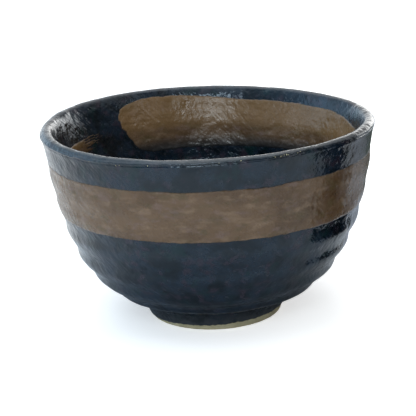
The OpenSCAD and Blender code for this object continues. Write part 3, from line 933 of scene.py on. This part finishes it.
# %% Crumbs on the lap line
# Thickest to the right of the front, some on the left, and hardly any elsewhere
patches = (stretch_of_lip(284, 290, 298, 304) + 0.2 * stretch_of_lip(222, 230, 256, 264)
           + 0.5 * stretch_of_lip(176, 180, 188, 194) + 0.03)
clumps = patches * np.clip(0.4 + wander(circle, 240, 51), 0, 1)
lap_strip = [row(lap_edge + step * mm, 0.05 * mm, turns, clumps) for step in (-0.25, 0, 0.25)]
lap_crumbs = scatter("lap_crumbs", lap_strip, 0.17 * mm, 3.2e6, 3)


# %% Grit on the foot
def foot_row(z):
    r, _, nr, nz = place(foot_edge - glaze_line + z + np.zeros(turns))
    gathered = np.clip(0.5 + wander(circle, 90, 52), 0, 1)
    return r - glaze_t, z + np.zeros(turns), nr, nz, 0 * r, 0 * r - 1, gathered


foot_strip = [foot_row(z) for z in np.array([0.5, 1.2, 2.0]) * mm]
foot_grit = scatter("foot_grit", foot_strip, 0.11 * mm, 3e6, 4)

# %% [markdown]
# ## The pieces take their places
# Every new piece rides on the one body the bowl has, and the CAD node that it replaces is hidden.

# %% Attach the pieces and hide their CAD nodes
for piece, node, slot in (
    (body, "clay_bowl", "stoneware_clay"),
    (foot, "foot_ring", "stoneware_clay"),
    (outer_coat, "outside_glaze", "dark_glaze"),
    (inner_coat, "inside_glaze", "dark_glaze"),
    (well_coat, "foot_well_glaze", "dark_glaze"),
    (band, "outside_brown_band", "brown_glaze"),
    (inner_stroke, "inside_brown_stroke", "brown_glaze"),
    (lap_crumbs, "inside_glaze", "stoneware_clay"),
    (foot_grit, "foot_ring", "stoneware_clay"),
):
    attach(piece, "root")
    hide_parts(node)
    print(piece.name, "stands for", node)

# %% [markdown]
# ## The studio
# A glossy bowl shows its surroundings, so the studio is most of the picture. It is a white table
# under a pale sky. The table glows a little, and its visible glow grows towards the right, which keeps
# the shadows light without a lamp that the glaze would show.

# %% Table
def table_top():
    material, tree, shader = new_material("white table", (0.86, 0.86, 0.86), specular=0.0)
    glow, lift_left, lift_right = 0.10, 0.28, 0.56
    tree.links.new(between(tree, clouds(tree, 200 * mm), 0.3, 0.7, 0.85, 0.95), shader.inputs["Roughness"])
    shader.inputs["Emission Color"].default_value = (1, 1, 1, 1)
    seen = add(tree, "ShaderNodeLightPath").outputs["Is Camera Ray"]
    where = add(tree, "ShaderNodeTexCoord").outputs["Object"]
    to_right = add(tree, "ShaderNodeSeparateXYZ", {0: where}).outputs[0]
    lifted = between(tree, to_right, -60 * mm, 60 * mm, lift_left, lift_right)
    tree.links.new(plus(tree, times(tree, seen, lifted), glow), shader.inputs["Emission Strength"])
    bpy.ops.mesh.primitive_plane_add(size=12)
    table = bpy.context.object
    table.name = "table"
    table.data.materials.append(material)
    table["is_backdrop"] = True


table_top()

# %% [markdown]
# ### The sky
# The gloss shows where each part of the sky is. The sky is bright and blue on the left and dim on the
# right. Low behind the bowl it is brightest, above all on the right, and the inner wall on the left
# shows that. Overhead it is bright again, but dim above the viewer, so the inner floor stays dark.

# %% Sky
def sky():
    world = bpy.data.worlds.new("pale sky")
    bpy.context.scene.world = world
    world.use_nodes = True
    tree = world.node_tree
    for old in list(tree.nodes):
        tree.nodes.remove(old)
    way_out = add(tree, "ShaderNodeTexCoord").outputs["Generated"]
    to_right, to_back, up = add(tree, "ShaderNodeSeparateXYZ", {0: way_out}).outputs
    side = between(tree, to_right, -0.5, 0.5, 0.85, 0.10)
    behind = times(tree, between(tree, to_back, 0.45, 0.70), between(tree, to_right, -0.1, 0.4, 0.8, 4.0),
                   between(tree, up, 0.15, 0.40, 1.0, 0.0))
    ceiling = times(tree, between(tree, up, 0.25, 0.75), between(tree, to_right, -0.6, 0.2, 0.3, 1.0))
    dim_in_front = between(tree, to_back, -0.9, -0.3, 0.35, 1.0)
    strength = times(tree, plus(tree, side, behind, ceiling), dim_in_front)
    colour = blend(tree, between(tree, to_right, -0.8, 0.2), (0.58, 0.80, 1.0), (1.0, 0.99, 0.97))
    soft = add(tree, "ShaderNodeBackground", {"Color": colour, "Strength": strength})
    add(tree, "ShaderNodeOutputWorld", {"Surface": soft.outputs[0]})


sky()

# %% [markdown]
# ### The lights
# A wide soft light hangs overhead. A smaller one in front lights the far inner wall. Two on the left
# stand in for windows, one blue and wide, one small and low. A tiny one on the right makes the
# window shape on the right flank.

# %% Lights
def soft_light(name, at, width, height, power, colour):
    light = bpy.data.lights.new(name, "AREA")
    light.shape = "RECTANGLE"
    light.size, light.size_y = width, height
    light.energy = power
    light.color = colour
    lamp = bpy.data.objects.new(name, light)
    bpy.context.scene.collection.objects.link(lamp)
    lamp.location = at
    lamp.rotation_euler = (Vector(middle) - Vector(at)).to_track_quat("-Z", "Y").to_euler()
    lamp.visible_camera = False
    print(f"{name}: {width} by {height} m, {power} W")


middle = (0, 0, bowl_h / 2)
soft_light("overhead", (-0.15, 0.15, 0.9), 1.2, 1.2, 4.0, (1.0, 0.99, 0.97))
soft_light("front", (-0.05, -0.78, 0.50), 0.50, 0.22, 3.1, (0.86, 0.95, 1.0))
soft_light("window left", (-0.75, 0.20, 0.30), 0.45, 0.45, 0.8, (0.55, 0.78, 1.0))
soft_light("low left", (-0.75, -0.20, 0.22), 0.16, 0.14, 0.35, (0.95, 0.95, 1.0))
soft_light("small window", (0.53, -0.33, 0.38), 0.02, 0.06, 0.20, (0.95, 0.97, 1.0))

# %% [markdown]
# ### The black cards
# A black card beside a glossy thing gives it a dark reflection. The narrow one makes the dark patch
# on the right flank, and its outline is the patch's. The long one further out only dims the light
# that falls on that side, and the gloss doesn't show it.

# %% Black cards
def black_card(name, x, outline):
    """A black card that stands on the right. Its outline is a list of (y, z) points."""
    material, _, shader = new_material("black card", (0.004, 0.004, 0.004), specular=0.0)
    shader.inputs["Roughness"].default_value = 0.9
    mesh = bpy.data.meshes.new(name)
    mesh.from_pydata([(x, y, z) for y, z in outline], [], [tuple(range(len(outline)))])
    mesh.materials.append(material)
    card = bpy.data.objects.new(name, mesh)
    bpy.context.scene.collection.objects.link(card)
    card.visible_camera = card.visible_shadow = False
    card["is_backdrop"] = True
    return card


card_near, card_step, card_far, card_top = -0.048, -0.014, 0.024, 0.30
black_card("card_right", 0.090, [(card_near, 0), (card_far, 0), (card_far, 0.012), (card_step, 0.034),
                                 (card_step, card_top), (card_near, card_top)])
flag = black_card("flag_right", 0.120, [(-0.25, 0.03), (0.25, 0.03), (0.25, 0.25), (-0.25, 0.25)])
flag.visible_glossy = False
print("two black cards on the right")

# %% [markdown]
# ### Painted shade on the table
# The outside wall leans out, so its gloss shows the table close to the foot, and a table that glows
# looks too bright there. Two discs that only the gloss sees paint shade into it, one under the bowl
# and one far back on the right. On the real bowl the table's own shade does this.

# %% Painted shade discs
def shade_disc(name, x, y, radius, dark, light):
    """A disc of painted shade on the table that only the gloss sees, dark in the middle and lighter at its
    edge.
    """
    sides = 96
    material, tree, shader = new_material("shade_disc", dark, specular=0.0)
    where = add(tree, "ShaderNodeTexCoord").outputs["Object"]
    far = add(tree, "ShaderNodeVectorMath", {0: where}, operation="LENGTH").outputs["Value"]
    amount = between(tree, far, 0.25 * radius, 0.85 * radius)
    tree.links.new(blend(tree, amount, dark, light), shader.inputs["Base Color"])
    mesh = bpy.data.meshes.new(name)
    edge = np.linspace(0, 2 * np.pi, sides, endpoint=False)
    ring = [(radius * math.cos(a), radius * math.sin(a), 0) for a in edge]
    mesh.from_pydata(ring, [], [tuple(range(sides))])
    mesh.materials.append(material)
    disc = bpy.data.objects.new(name, mesh)
    disc.location = (x, y, 0.2 * mm)
    bpy.context.scene.collection.objects.link(disc)
    disc.visible_camera = disc.visible_shadow = disc.visible_diffuse = False
    disc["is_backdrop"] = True
    print(f"{name}: {2 * radius / mm:.0f} mm across")


shade_disc("shade_disc_under", -8 * mm, -12 * mm, 100 * mm, (0.28, 0.31, 0.35), (0.80, 0.84, 0.88))
shade_disc("shade_disc_back_right", 120 * mm, 200 * mm, 160 * mm, (0.10, 0.12, 0.10), (0.62, 0.65, 0.72))

# %% [markdown]
# ## The camera
# A long lens looks down at the bowl by about seventeen degrees, from a little over half a metre, and
# is held a touch crooked. The lens shift places the bowl in the frame.

# %% Camera
def camera():
    data = bpy.data.cameras.new("camera")
    data.sensor_width = 36
    data.lens = 135.4
    data.shift_x, data.shift_y = -0.0080, 0.0182
    made = bpy.data.objects.new("camera", data)
    bpy.context.scene.collection.objects.link(made)
    elevation, distance, roll = math.radians(16.96), 0.6, math.radians(2.52)
    back = Vector((0, -math.cos(elevation), math.sin(elevation)))
    made.location = Vector(middle) + back * distance
    made.rotation_mode = "QUATERNION"
    made.rotation_quaternion = (-back).to_track_quat("-Z", "Y") @ Quaternion((0, 0, 1), -roll)
    data.clip_start, data.clip_end = 0.01, 50
    bpy.context.scene.camera = made
    bpy.context.scene.view_settings.view_transform = "Standard"
    print(f"camera {distance} m away, looking down {math.degrees(elevation):.1f} degrees")


camera()

# %% Sizes and finish
visual_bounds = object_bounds()
cad_corner, visual_corner = ([round(x / mm, 2) for x in bounds[1]] for bounds in (cad_bounds, visual_bounds))
print("highest corner, mm: CAD", cad_corner, "visual", visual_corner)
